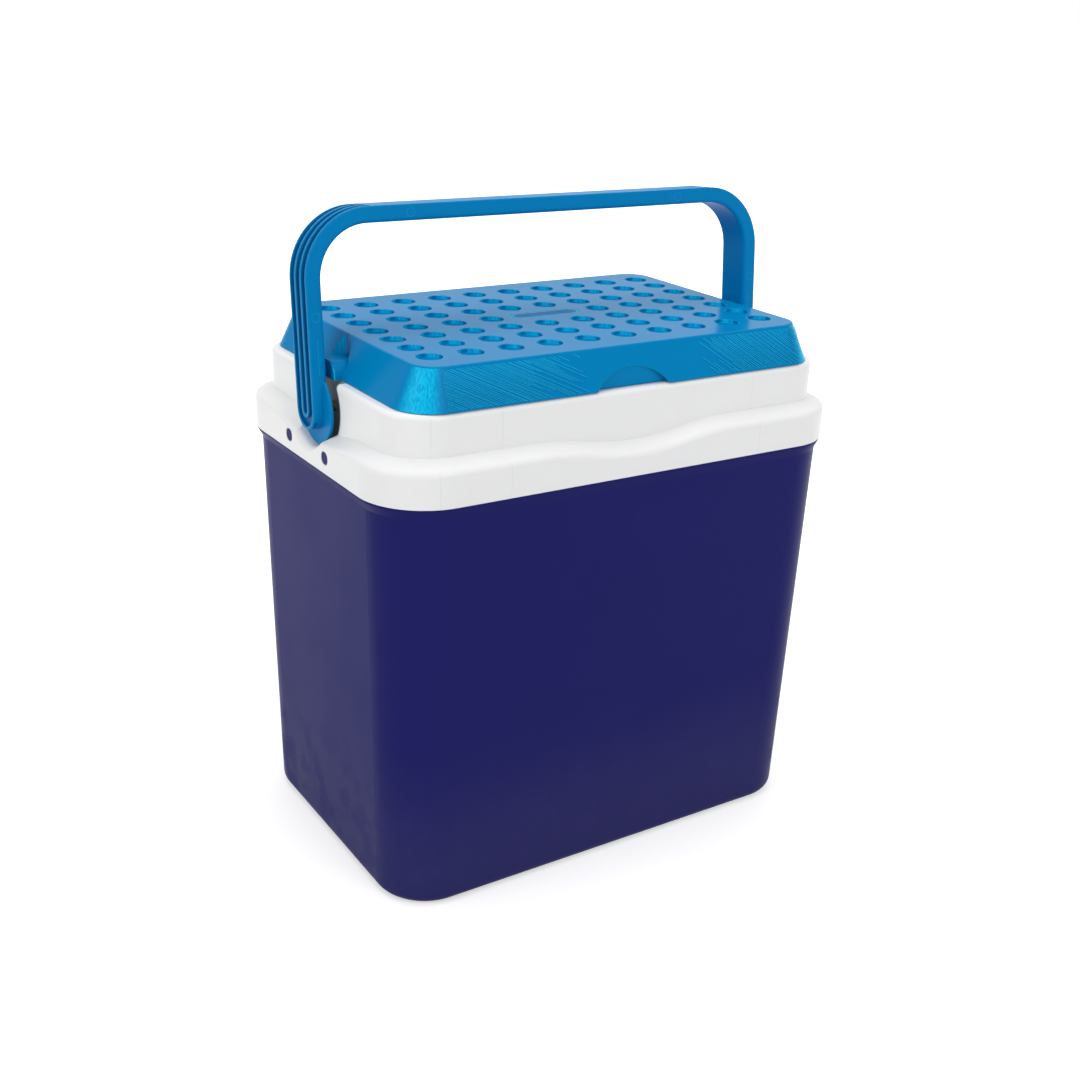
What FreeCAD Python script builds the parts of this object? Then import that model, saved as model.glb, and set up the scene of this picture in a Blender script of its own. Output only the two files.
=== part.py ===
import FreeCAD, Part
import math
import os

# Hard cooler chest with a swinging bail handle and a lift-off lid.
# Frame: millimetres, +Z up, origin at the middle of the standing face,
# X along the length, -Y towards the front.

V = FreeCAD.Vector

# ---- collar (the white rim frame) -------------------------------------
COLLAR_LENGTH = 390.0       # overall length of the lower band
COLLAR_WIDTH = 261.0        # overall width of the lower band
COLLAR_CORNER = 47.7        # plan corner radius of the lower band
COLLAR_BOTTOM = 310.4       # height of the body under the collar
COLLAR_HEIGHT = 59.0        # collar's lower edge to the deck that the lid sits on
COLLAR_WALL = 3.0
BAND_INSET = 13.2           # how far the upper band stands in from the lower
LEDGE_RISE = 24.2           # ledge's outer edge above the collar's lower edge
LEDGE_SLOPE = 6.4           # rise of the ledge from its outer edge to the upper band
LEDGE_ROUND = 5.0
LIP_ROUND = 4.0             # rounding of the collar's top edge
DIP_DEPTH = 8.0             # finger dip of the ledge in the middle of a side
DIP_END = 0.8               # a finger dip's end to the end side's corner rounding
DECK_END = 17.8             # width of the deck at each end, upper band to mouth
DECK_SIDE = 11.3            # width of the deck along each long side
MOUTH_CORNER = 30.0
MOUTH_WALL = 2.5
MOUTH_DEPTH = 31.4          # how far the mouth wall hangs below the deck

# ---- body --------------------------------------------------------------
BODY_END_SETBACK = 4.5      # body just under its flared rim, in from the collar
BODY_SIDE_SETBACK = 2.7
BODY_TOP_CORNER = 44.3
BODY_END_DRAFT = 7.0        # body at the floor, in from the body at the top
BODY_SIDE_DRAFT = 5.0
BODY_BASE_CORNER = 40.5
BODY_WALL = 2.5
BOTTOM_ROUND = 9.0
BASE_RECESS = 2.0           # the middle of the bottom stands off the floor
BASE_RIM = 24.0             # width of the standing ring
FLARE_HEIGHT = 8.4          # flared rim below the collar
FLARE_FLAT = 1.8
RIM_SETBACK = 0.5           # flared rim against the collar's outer face
NECK_HEIGHT = 9.6           # neck of the body inside the collar
FIT = 0.3                   # clearance between nested pieces

# ---- snap windows, two at each end ------------------------------------
WINDOW_WIDTH = 10.4
WINDOW_HEIGHT = 9.2
WINDOW_ROUND = 4.2
WINDOW_SPACING = 60.0
WINDOW_RISE = 11.0          # window's middle above the collar's lower edge
LUG_RECESS = 0.3            # snap lug's face behind the collar's face
LUG_TOP_GAP = 0.3           # snap lug's top below the window's top
TAB_DROP = 1.8              # tab's top below its snap lug's top
LUG_ROOT = 0.5              # how far a snap lug and its tab run into the neck

# ---- liner and insulation ---------------------------------------------
LINER_WALL = 2.0
LINER_FLOOR = 24.0          # height of the inside floor
LINER_DRAFT = 7.0           # inside at the floor, in from the mouth
LINER_BASE_CORNER = 22.0
LINER_FLOOR_ROUND = 10.0
FLANGE_THICK = 2.5
FLANGE_WIDTH = 4.0

# ---- handle ------------------------------------------------------------
HANDLE_WIDTH = 28.5         # flat band width
HANDLE_THICK = 11.5
GRIP_OVERHANG = 5.1         # folded grip's outer face past the collar's side
HANDLE_BEND = 47.7          # outer bend radius
HANDLE_TILT = 4.9           # leans back from upright when at rest, degrees
INNER_ROUND = 3.0
OUTER_ROUND = 1.0
GROOVE_DEPTH = 2.4
RIM_BAND = 2.3              # rim beside the outer groove
RIDGE_BAND = 2.5            # ridge between two grooves
GROOVE_RUN = 51.5           # how far the grooves reach in from the leg's outer face
PIVOT_RISE = 37.6           # pivot above the collar's lower edge
HUB_RADIUS = 24.8
HUB_FACE = 8.0              # hub's outer face behind the leg's outer face
HUB_THICK = 2.2
HUB_EDGE = 0.5              # rounding of the hub's rims

# ---- pocket and pin ----------------------------------------------------
POCKET_GAP = 3.2            # pocket wall around the hub
POCKET_RISE = 1.9           # pocket centre above the pivot
POCKET_BACK = 10.8          # hub's inner face to the pocket floor
POCKET_SIDE = 5.75          # pocket's open top beside the handle's leg
POCKET_WALL = 3.0
POCKET_ROUND = 5.0          # rounding of the pocket's edge at the collar's end
PIN_RADIUS = 4.0
PIN_CLEARANCE = 0.06
PIN_CHAMFER = 0.6
PIN_IN_HANDLE = 5.2
PIN_IN_BOSS = 6.5
BOSS_WALL = 5.0

# ---- lid ---------------------------------------------------------------
LID_GAP = 0.4               # lid's lower edge above the collar's deck
LID_HEIGHT = 28.0
LID_END_SETBACK = 8.0       # lid's lower edge in from the upper band
LID_SIDE_SETBACK = 1.0
LID_CORNER = 28.7
LID_END_SLOPE = 13.0        # lid's top edge in from its lower edge
LID_SIDE_SLOPE = 10.7
LID_TOP_CORNER = 18.0
LID_WALL = 2.5
LID_PLATE = 5.2             # thickness of the dimpled top plate
LID_EDGE_ROUND = 1.5
DIMPLE_DIAMETER = 18.6
DIMPLE_DEPTH = 2.8
DIMPLE_PITCH_X = 31.3
DIMPLE_PITCH_Y = 26.3
DIMPLE_MARGIN = 8.0         # least distance of a dimple from the top's edge
BADGE_LENGTH = 59.0
BADGE_WIDTH = 16.0
BADGE_LINE = 1.4
BADGE_DEPTH = 0.7
RECESS_GAP = 0.3            # end recess's radius past half the handle's width
RECESS_SHELF = 2.2
LUG_INSET = 0.4             # lid lug's side in from the recess's side
LUG_OUT = 5.4               # lid lug's face out from the lid's lower edge
LUG_HEIGHT = 12.6
LUG_CORNER = 10.0
LUG_EDGE = 1.0
NOTCH_HALF = 31.0
NOTCH_HEIGHT = 14.0
NOTCH_DEPTH = 5.8
PLUG_DEPTH = 24.0
PLUG_FIT = 0.8
PLUG_DRAFT = 2.0
PLUG_ROUND = 4.0
PLUG_STEP = 8.0             # the plug's room narrows this much under the plate
BASE_PLATE = 2.0

# ---- derived -----------------------------------------------------------
HALF_L = COLLAR_LENGTH / 2
HALF_W = COLLAR_WIDTH / 2
BAND_L = HALF_L - BAND_INSET
BAND_W = HALF_W - BAND_INSET
BAND_R = COLLAR_CORNER - BAND_INSET
COLLAR_TOP = COLLAR_BOTTOM + COLLAR_HEIGHT
LEDGE_OUTER = COLLAR_BOTTOM + LEDGE_RISE
LEDGE_INNER = LEDGE_OUTER + LEDGE_SLOPE
DIP_HALF = HALF_W - COLLAR_CORNER - DIP_END
MOUTH_L = BAND_L - DECK_END
MOUTH_W = BAND_W - DECK_SIDE
MOUTH_BOTTOM = COLLAR_TOP - MOUTH_DEPTH
NECK_TOP = COLLAR_BOTTOM + NECK_HEIGHT
BODY_TOP_L = HALF_L - BODY_END_SETBACK
BODY_TOP_W = HALF_W - BODY_SIDE_SETBACK
WINDOW_CENTRE = COLLAR_BOTTOM + WINDOW_RISE
HANDLE_X = HALF_L           # the legs' outer faces are flush with the collar's ends
HANDLE_REACH = HALF_W + GRIP_OVERHANG
GROOVE_END = HANDLE_X - GROOVE_RUN
PIVOT_HEIGHT = COLLAR_BOTTOM + PIVOT_RISE
LEG_IN = HANDLE_X - HANDLE_THICK
HUB_OUT = HANDLE_X - HUB_FACE
HUB_IN = HUB_OUT - HUB_THICK
POCKET_RADIUS = HUB_RADIUS + POCKET_GAP
POCKET_X = HUB_IN - POCKET_BACK
POCKET_Z = PIVOT_HEIGHT + POCKET_RISE
LID_L = BAND_L - LID_END_SETBACK
LID_W = BAND_W - LID_SIDE_SETBACK
LID_TOP_L = LID_L - LID_END_SLOPE
LID_TOP_W = LID_W - LID_SIDE_SLOPE
LID_BOTTOM = COLLAR_TOP + LID_GAP
LID_TOP = LID_BOTTOM + LID_HEIGHT
RECESS_RADIUS = HANDLE_WIDTH / 2 + RECESS_GAP
PAST = 8.0                  # how far a cutter runs past what it cuts
FAR = 600.0


def plan_wire(hx, hy, r, z):
    """Rounded rectangle, half sizes hx and hy, corner radius r, at height z."""
    k = r * math.sqrt(0.5)
    edges = []
    corners = [(1, 1), (-1, 1), (-1, -1), (1, -1)]
    for i, (sx, sy) in enumerate(corners):
        cx = sx * (hx - r)
        cy = sy * (hy - r)
        first = V(cx + sx * r, cy, z)
        last = V(cx, cy + sy * r, z)
        if i % 2:
            first, last = last, first
        edges.append(Part.Arc(first, V(cx + sx * k, cy + sy * k, z), last).toShape())
    wire = []
    for i, edge in enumerate(edges):
        wire.append(edge)
        end = edge.Vertexes[1].Point
        start = edges[(i + 1) % 4].Vertexes[0].Point
        wire.append(Part.LineSegment(end, start).toShape())
    return Part.Wire(wire)


def block(hx, hy, r, z0, z1):
    """Upright solid of one rounded-rectangle plan."""
    face = Part.Face(plan_wire(hx, hy, r, z0))
    return face.extrude(V(0, 0, z1 - z0))


def taper(low, high):
    """Ruled solid between two plans, each (hx, hy, r, z)."""
    return Part.makeLoft([plan_wire(*low), plan_wire(*high)], True, True)


def mix(low, high, z):
    """Plan of a tapered solid at height z."""
    t = (z - low[3]) / (high[3] - low[3])
    return tuple(a + (b - a) * t for a, b in zip(low[:3], high[:3])) + (z,)


def inset(plan, d, z=None):
    hx, hy, r, z_old = plan
    return (hx - d, hy - d, r - d, z_old if z is None else z)


def x_cylinder(radius, x0, x1, z):
    return Part.makeCylinder(radius, x1 - x0, V(x0, 0, z), V(1, 0, 0))


def mirror_x(shape):
    return shape.mirror(V(0, 0, 0), V(1, 0, 0))


def both_ends(shape):
    return shape.fuse(mirror_x(shape))


def stadium_x(hy, z0, z1, r, x0, x1, y=0.0):
    """Rounded rectangle in the YZ plane, extruded from x0 to x1."""
    hz = (z1 - z0) / 2
    face = Part.Face(plan_wire(hy, hz, r, 0))
    face.rotate(V(0, 0, 0), V(1, 0, 0), 90)
    face.rotate(V(0, 0, 0), V(0, 0, 1), 90)
    face.translate(V(x0, y, (z0 + z1) / 2))
    return face.extrude(V(x1 - x0, 0, 0))


# ---- collar ------------------------------------------------------------
def dip_path(depth, half):
    """Smooth dip along X: two shoulder arcs and a bottom arc."""
    turn = 2 * math.atan(depth / half)
    radius = half / math.sin(turn) / 2
    path = []
    points = []
    for a in (0, turn / 2, turn):
        points.append(V(-half + radius * math.sin(a), 0, -radius * (1 - math.cos(a))))
    path.append(Part.Arc(*points).toShape())
    low = []
    for a in (turn, 0, -turn):
        low.append(V(-radius * math.sin(a), 0, -depth + radius * (1 - math.cos(a))))
    path.append(Part.Arc(*low).toShape())
    right = [V(-p.x, 0, p.z) for p in reversed(points)]
    path.append(Part.Arc(*right).toShape())
    return Part.Wire(path)


def dip_cutter(outer, drop):
    """What a finger dip takes off the ledge of the side at y = -outer."""
    slope = (LEDGE_INNER - LEDGE_OUTER) / BAND_INSET
    deep = outer - BAND_INSET - PAST
    over = outer + PAST
    z_deep = LEDGE_OUTER - drop + slope * (outer - deep)
    z_over = LEDGE_OUTER - drop - slope * (over - outer)
    z_above = z_deep + DIP_DEPTH + PAST
    section = Part.makePolygon([
        V(-DIP_HALF, -deep, z_deep),
        V(-DIP_HALF, -over, z_over),
        V(-DIP_HALF, -over, z_above),
        V(-DIP_HALF, -deep, z_above),
        V(-DIP_HALF, -deep, z_deep)])
    path = dip_path(DIP_DEPTH, DIP_HALF)
    shell = Part.BRepOffsetAPI.MakePipeShell(path)
    shell.setTrihedronMode(V(0, 0, 0), V(0, 1, 0))
    shell.add(section, False, False)
    shell.build()
    shell.makeSolid()
    return shell.shape()


def ledge_block(gap, drop, z0):
    """Lower band with its sloping ledge, set in by gap and lowered by drop."""
    low = (HALF_L - gap, HALF_W - gap, COLLAR_CORNER - gap, LEDGE_OUTER - drop)
    high = (BAND_L - gap, BAND_W - gap, BAND_R - gap, LEDGE_INNER - drop)
    solid = block(low[0], low[1], low[2], z0, low[3]).fuse(taper(low, high))
    solid = solid.removeSplitter()
    for half, angle in ((HALF_W, 0), (HALF_L, 90)):
        cutter = dip_cutter(half - gap, drop)
        cutter.rotate(V(0, 0, 0), V(0, 0, 1), angle)
        other = cutter.copy()
        other.rotate(V(0, 0, 0), V(0, 0, 1), 180)
        solid = solid.cut(cutter).cut(other)
    return solid


def pocket_shape(x0, x1, grow):
    """Pocket for the handle's hub: a round bottom and a narrower open top."""
    low = x_cylinder(POCKET_RADIUS + grow, x0, x1, POCKET_Z)
    half = HANDLE_WIDTH / 2 + POCKET_SIDE + grow
    neck = Part.makeBox(x1 - x0, 2 * half, FAR, V(x0, -half, POCKET_Z))
    return low.fuse(neck).removeSplitter()


def pocket_flare():
    """Rounds the pocket's edge where it opens through the collar's end."""
    wide = POCKET_RADIUS + POCKET_ROUND
    start = HALF_L - POCKET_ROUND
    ring = Part.makeTorus(wide, POCKET_ROUND, V(start, 0, POCKET_Z), V(1, 0, 0))
    return x_cylinder(wide, start, HALF_L + PAST, POCKET_Z).cut(ring)


def around_pockets():
    """What the pieces inside the collar leave free around both pockets."""
    wall = POCKET_WALL + FIT
    return both_ends(pocket_shape(POCKET_X - wall, FAR, wall))


def near(value, target, tol=0.05):
    return abs(value - target) < tol


def upper_band():
    """Upper band with its rounded lip and the open mouths of both pockets."""
    band = block(BAND_L, BAND_W, BAND_R, COLLAR_BOTTOM, COLLAR_TOP)
    band = band.cut(both_ends(pocket_shape(POCKET_X, FAR, 0)))
    lip = []
    for edge in band.Edges:
        box = edge.BoundBox
        on_top = near(box.ZMin, COLLAR_TOP) and near(box.ZMax, COLLAR_TOP)
        in_pocket = box.YMin > -POCKET_RADIUS - 1 and box.YMax < POCKET_RADIUS + 1
        if on_top and not in_pocket:
            lip.append(edge)
    return band.makeFillet(LIP_ROUND, lip)


def collar():
    lower = ledge_block(0, 0, COLLAR_BOTTOM)
    edges = []
    for edge in lower.Edges:
        box = edge.BoundBox
        mid = edge.valueAt((edge.FirstParameter + edge.LastParameter) / 2)
        outside = abs(mid.x) > BAND_L + 2 or abs(mid.y) > BAND_W + 2
        if outside and box.ZMin > COLLAR_BOTTOM + 1 and box.ZMax < LEDGE_OUTER + 0.1:
            if box.ZLength < DIP_DEPTH + 0.1:
                edges.append(edge)
    lower = lower.makeFillet(LEDGE_ROUND, edges)
    hub_room = pocket_shape(POCKET_X, FAR, 0).fuse(pocket_flare())
    lower = lower.cut(both_ends(hub_room))
    outer = lower.fuse(upper_band()).removeSplitter()

    void = ledge_block(COLLAR_WALL, COLLAR_WALL, COLLAR_BOTTOM - 1)
    ceiling = COLLAR_TOP - COLLAR_WALL
    band_void = block(BAND_L - COLLAR_WALL, BAND_W - COLLAR_WALL,
                      BAND_R - COLLAR_WALL, COLLAR_BOTTOM - 1, ceiling)
    void = void.fuse(band_void)
    wall = block(MOUTH_L + MOUTH_WALL, MOUTH_W + MOUTH_WALL,
                 MOUTH_CORNER + MOUTH_WALL, MOUTH_BOTTOM, FAR)
    void = void.cut(wall)
    shelter = pocket_shape(POCKET_X - POCKET_WALL, FAR, POCKET_WALL)
    boss = x_cylinder(PIN_RADIUS + BOSS_WALL, MOUTH_L + MOUTH_WALL / 2, POCKET_X,
                      PIVOT_HEIGHT)
    void = void.cut(both_ends(shelter.fuse(boss)))

    mouth = block(MOUTH_L, MOUTH_W, MOUTH_CORNER, COLLAR_BOTTOM - 1, FAR)
    body = outer.cut(void).cut(mouth)
    hole = x_cylinder(PIN_RADIUS, POCKET_X - PIN_IN_BOSS, POCKET_X + 1, PIVOT_HEIGHT)
    body = body.cut(both_ends(hole))
    for y in (-WINDOW_SPACING / 2, WINDOW_SPACING / 2):
        window = stadium_x(WINDOW_WIDTH / 2, WINDOW_CENTRE - WINDOW_HEIGHT / 2,
                           WINDOW_CENTRE + WINDOW_HEIGHT / 2, WINDOW_ROUND,
                           HALF_L - COLLAR_WALL - 1, FAR, y)
        body = body.cut(both_ends(window))
    return body


# ---- outer shell -------------------------------------------------------
BODY_LOW = (BODY_TOP_L - BODY_END_DRAFT, BODY_TOP_W - BODY_SIDE_DRAFT,
            BODY_BASE_CORNER, 0.0)
BODY_HIGH = (BODY_TOP_L, BODY_TOP_W, BODY_TOP_CORNER, COLLAR_BOTTOM - FLARE_HEIGHT)


def outer_shell():
    body = taper(BODY_LOW, BODY_HIGH)
    bottom = [e for e in body.Edges if near(e.BoundBox.ZMax, 0.0)]
    body = body.makeFillet(BOTTOM_ROUND, bottom)
    rim = (HALF_L - RIM_SETBACK, HALF_W - RIM_SETBACK, COLLAR_CORNER - RIM_SETBACK)
    flare = taper(BODY_HIGH, rim + (COLLAR_BOTTOM - FLARE_FLAT,))
    flat = block(*rim, COLLAR_BOTTOM - FLARE_FLAT, COLLAR_BOTTOM)
    gap = COLLAR_WALL + FIT
    neck_plan = (HALF_L - gap, HALF_W - gap, COLLAR_CORNER - gap)
    neck = block(*neck_plan, COLLAR_BOTTOM - 1, NECK_TOP).cut(around_pockets())
    body = body.fuse(flare).fuse(flat).fuse(neck)

    inside_low = inset(BODY_LOW, BODY_WALL)
    inside_high = inset(BODY_HIGH, BODY_WALL)
    floor = mix(inside_low, inside_high, BODY_WALL + BASE_RECESS)
    cavity = taper(floor, inside_high)
    base = [e for e in cavity.Edges if near(e.BoundBox.ZMax, floor[3])]
    cavity = cavity.makeFillet(BOTTOM_ROUND - BODY_WALL, base)
    neck_in = tuple(p - BODY_WALL for p in neck_plan)
    funnel = taper(inside_high, neck_in + (COLLAR_BOTTOM,))
    throat = block(*neck_in, COLLAR_BOTTOM, NECK_TOP + 1)
    body = body.cut(cavity.fuse(funnel).fuse(throat))

    for y in (-WINDOW_SPACING / 2, WINDOW_SPACING / 2):
        z1 = WINDOW_CENTRE + WINDOW_HEIGHT / 2 - LUG_TOP_GAP
        z0 = WINDOW_CENTRE - WINDOW_HEIGHT / 2 + FIT
        tab = Part.makeBox(BODY_WALL, WINDOW_WIDTH, z1 - TAB_DROP - NECK_TOP + LUG_ROOT,
                           V(neck_in[0], y - WINDOW_WIDTH / 2, NECK_TOP - LUG_ROOT))
        lug = stadium_x(WINDOW_WIDTH / 2 - FIT, z0, z1, WINDOW_ROUND - FIT,
                        neck_plan[0] - LUG_ROOT, HALF_L - LUG_RECESS, y)
        body = body.fuse(both_ends(tab.fuse(lug)))
    recess = block(BODY_LOW[0] - BASE_RIM, BODY_LOW[1] - BASE_RIM,
                   BODY_LOW[2] - BASE_RIM / 2, -1, BASE_RECESS)
    return body.cut(recess).removeSplitter()


# ---- liner and insulation ---------------------------------------------
LINER_LOW = (MOUTH_L - LINER_DRAFT, MOUTH_W - LINER_DRAFT, LINER_BASE_CORNER,
             LINER_FLOOR)
LINER_HIGH = (MOUTH_L, MOUTH_W, MOUTH_CORNER, MOUTH_BOTTOM)


def inner_liner():
    outside_low = mix(inset(LINER_LOW, -LINER_WALL), inset(LINER_HIGH, -LINER_WALL),
                      LINER_FLOOR - LINER_WALL)
    outside = taper(outside_low, inset(LINER_HIGH, -LINER_WALL))
    base = [e for e in outside.Edges if near(e.BoundBox.ZMax, outside_low[3])]
    outside = outside.makeFillet(LINER_FLOOR_ROUND + LINER_WALL, base)
    grow = MOUTH_WALL + FLANGE_WIDTH
    flange = block(MOUTH_L + grow, MOUTH_W + grow, MOUTH_CORNER + grow,
                   MOUTH_BOTTOM - FLANGE_THICK, MOUTH_BOTTOM).cut(around_pockets())
    cavity = taper(LINER_LOW, LINER_HIGH)
    base = [e for e in cavity.Edges if near(e.BoundBox.ZMax, LINER_FLOOR)]
    cavity = cavity.makeFillet(LINER_FLOOR_ROUND, base)
    return outside.fuse(flange).cut(cavity).removeSplitter()


def body_insulation():
    gap = BODY_WALL + FIT
    inside_low = inset(BODY_LOW, gap)
    inside_high = inset(BODY_HIGH, gap)
    bottom = mix(inside_low, inside_high, BODY_WALL + BASE_RECESS + FIT)
    foam = taper(bottom, inside_high)
    base = [e for e in foam.Edges if near(e.BoundBox.ZMax, bottom[3])]
    foam = foam.makeFillet(BOTTOM_ROUND - BODY_WALL, base)
    grow = MOUTH_WALL + FLANGE_WIDTH - FIT
    upper = block(MOUTH_L + grow, MOUTH_W + grow, MOUTH_CORNER + grow,
                  inside_high[3] - 1, MOUTH_BOTTOM - FLANGE_THICK - FIT)
    upper = upper.cut(around_pockets())
    wall = -LINER_WALL - FIT
    hole_low = mix(inset(LINER_LOW, wall), inset(LINER_HIGH, wall),
                   LINER_FLOOR - LINER_WALL - FIT)
    hole = taper(hole_low, inset(LINER_HIGH, wall))
    base = [e for e in hole.Edges if near(e.BoundBox.ZMax, hole_low[3])]
    hole = hole.makeFillet(LINER_FLOOR_ROUND + LINER_WALL, base)
    return foam.fuse(upper).cut(hole).removeSplitter()


# ---- handle and pins ---------------------------------------------------
def bail_face(outer, inner, foot):
    """Face in the XZ plane between two offsets of the bail's outer contour."""
    loops = []
    for off in (outer, inner):
        x = HANDLE_X + off
        top = HANDLE_REACH + off
        r = HANDLE_BEND + off
        k = r * (1 - math.sqrt(0.5))
        loops.append([V(-x, 0, foot), V(-x, 0, top - r), V(-x + k, 0, top - k),
                      V(-x + r, 0, top), V(x - r, 0, top), V(x - k, 0, top - k),
                      V(x, 0, top - r), V(x, 0, foot)])
    a, b = loops
    parts = [
        Part.LineSegment(a[0], a[1]).toShape(),
        Part.Arc(a[1], a[2], a[3]).toShape(),
        Part.LineSegment(a[3], a[4]).toShape(),
        Part.Arc(a[4], a[5], a[6]).toShape(),
        Part.LineSegment(a[6], a[7]).toShape(),
        Part.LineSegment(a[7], b[7]).toShape(),
        Part.LineSegment(b[7], b[6]).toShape(),
        Part.Arc(b[6], b[5], b[4]).toShape(),
        Part.LineSegment(b[4], b[3]).toShape(),
        Part.Arc(b[3], b[2], b[1]).toShape(),
        Part.LineSegment(b[1], b[0]).toShape(),
        Part.LineSegment(b[0], a[0]).toShape()]
    return Part.Face(Part.Wire(parts))


def bail_strip(outer, inner, y0, y1):
    face = bail_face(outer, inner, 0.0)
    face.translate(V(0, y0, 0))
    return face.extrude(V(0, y1 - y0, 0))


def handle():
    half = HANDLE_WIDTH / 2
    band = bail_strip(0, -HANDLE_THICK, -half, half)
    foot = x_cylinder(half, LEG_IN, HANDLE_X, 0)
    band = band.fuse(both_ends(foot)).removeSplitter()
    outer = []
    inner = []
    for edge in band.Edges:
        mid = edge.valueAt((edge.FirstParameter + edge.LastParameter) / 2)
        box = edge.BoundBox
        if near(mid.z, 0) and near(box.ZLength, 0):
            continue
        reach_x = HANDLE_X - abs(mid.x)
        reach_z = HANDLE_REACH - mid.z
        if abs(mid.x) > HANDLE_X - HANDLE_BEND and mid.z > HANDLE_REACH - HANDLE_BEND:
            cx = abs(mid.x) - (HANDLE_X - HANDLE_BEND)
            cz = mid.z - (HANDLE_REACH - HANDLE_BEND)
            depth = HANDLE_BEND - math.hypot(cx, cz)
        else:
            depth = min(reach_x, reach_z)
        (outer if near(depth, 0, 0.3) else inner).append(edge)
    band = band.makeFillet(OUTER_ROUND, outer)
    keep = []
    for edge in band.Edges:
        mid = edge.valueAt((edge.FirstParameter + edge.LastParameter) / 2)
        for old in inner:
            ref = old.valueAt((old.FirstParameter + old.LastParameter) / 2)
            if mid.distanceToPoint(ref) < 0.5:
                keep.append(edge)
                break
    band = band.makeFillet(INNER_ROUND, keep)

    hub = x_cylinder(HUB_RADIUS, HUB_IN, HUB_OUT, 0)
    rims = [e for e in hub.Edges if near(e.BoundBox.XLength, 0)]
    hub = hub.makeFillet(HUB_EDGE, rims)
    bail = band.fuse(both_ends(hub))

    lane = half - RIM_BAND
    centre = (2 * lane - 2 * RIDGE_BAND) / 6
    side = centre + RIDGE_BAND
    floor = HANDLE_X - GROOVE_DEPTH
    top = HANDLE_REACH - GROOVE_DEPTH
    grip_keep = Part.makeBox(2 * GROOVE_END, HANDLE_WIDTH + 2, FAR,
                             V(-GROOVE_END, -half - 1, top - 5))
    middle = bail_strip(1, -GROOVE_DEPTH, -centre, centre)
    middle = middle.fuse(both_ends(x_cylinder(centre, floor, HANDLE_X + 1, 0)))
    cut = middle
    ring = x_cylinder(lane, floor, HANDLE_X + 1, 0)
    ring = ring.cut(x_cylinder(side, floor - 1, HANDLE_X + 2, 0))
    ring = ring.cut(Part.makeBox(FAR, FAR, FAR, V(0, -FAR / 2, 0)))
    cut = cut.fuse(both_ends(ring))
    for sign in (-1, 1):
        y0, y1 = sorted((sign * side, sign * lane))
        cut = cut.fuse(bail_strip(1, -GROOVE_DEPTH, y0, y1))
    bail = bail.cut(cut.cut(grip_keep))

    bore = x_cylinder(PIN_RADIUS + PIN_CLEARANCE, min(HUB_IN, LEG_IN) - 1,
                      HUB_IN + PIN_IN_HANDLE + FIT, 0)
    bail = bail.cut(both_ends(bore)).removeSplitter()
    bail.rotate(V(0, 0, 0), V(1, 0, 0), -HANDLE_TILT)
    bail.translate(V(0, 0, PIVOT_HEIGHT))
    return bail


def pivot_pin():
    pin = x_cylinder(PIN_RADIUS, POCKET_X - PIN_IN_BOSS, HUB_IN + PIN_IN_HANDLE,
                     PIVOT_HEIGHT)
    ends = [e for e in pin.Edges if near(e.BoundBox.XLength, 0)]
    return pin.makeChamfer(PIN_CHAMFER, ends)


# ---- lid ---------------------------------------------------------------
LID_LOW = (LID_L, LID_W, LID_CORNER, LID_BOTTOM)
LID_HIGH = (LID_TOP_L, LID_TOP_W, LID_TOP_CORNER, LID_TOP)


def recess_block(grow):
    """Round upright recess in the lid's end, behind the handle's leg."""
    foot = V(LID_TOP_L + RECESS_RADIUS, 0, LID_BOTTOM + RECESS_SHELF - grow)
    return Part.makeCylinder(RECESS_RADIUS + grow, FAR, foot)


def notch_block(grow):
    """Finger notch in the middle of the lid's front lower edge."""
    rise = NOTCH_HEIGHT + grow
    half = NOTCH_HALF + grow
    radius = (half * half + rise * rise) / (2 * rise)
    centre = V(0, -LID_W - PAST, LID_BOTTOM + rise - radius)
    disc = Part.makeCylinder(radius, PAST + NOTCH_DEPTH + grow, centre, V(0, 1, 0))
    keep = Part.makeBox(FAR, FAR, FAR, V(-FAR / 2, -FAR / 2, LID_BOTTOM - 1))
    return disc.common(keep)


def lid_cavity(gap, z0, z1):
    low = mix(inset(LID_LOW, gap), inset(LID_HIGH, gap), z0)
    high = mix(inset(LID_LOW, gap), inset(LID_HIGH, gap), z1)
    room = taper(low, high)
    room = room.cut(both_ends(recess_block(gap)))
    return room.cut(notch_block(gap))


def lid_lug():
    top = LID_BOTTOM + LUG_HEIGHT
    out = LID_L + LUG_OUT
    lug = stadium_x(RECESS_RADIUS - LUG_INSET, LID_BOTTOM - LUG_HEIGHT, top, LUG_CORNER,
                    LID_TOP_L - 1, out)
    keep = Part.makeBox(FAR, FAR, FAR, V(0, -FAR / 2, LID_BOTTOM))
    lug = lug.common(keep)
    face = [e for e in lug.Edges if near(e.BoundBox.XMin, out)
            and e.BoundBox.ZMax > LID_BOTTOM + 0.1]
    return lug.makeFillet(LUG_EDGE, face)


def dimple_places(half, pitch):
    """Evenly spaced middles of the dimples that fit across a top of this half size."""
    room = 2 * (half - DIMPLE_MARGIN) - DIMPLE_DIAMETER
    count = int(room / pitch) + 1
    return [(i - (count - 1) / 2) * pitch for i in range(count)]


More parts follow.
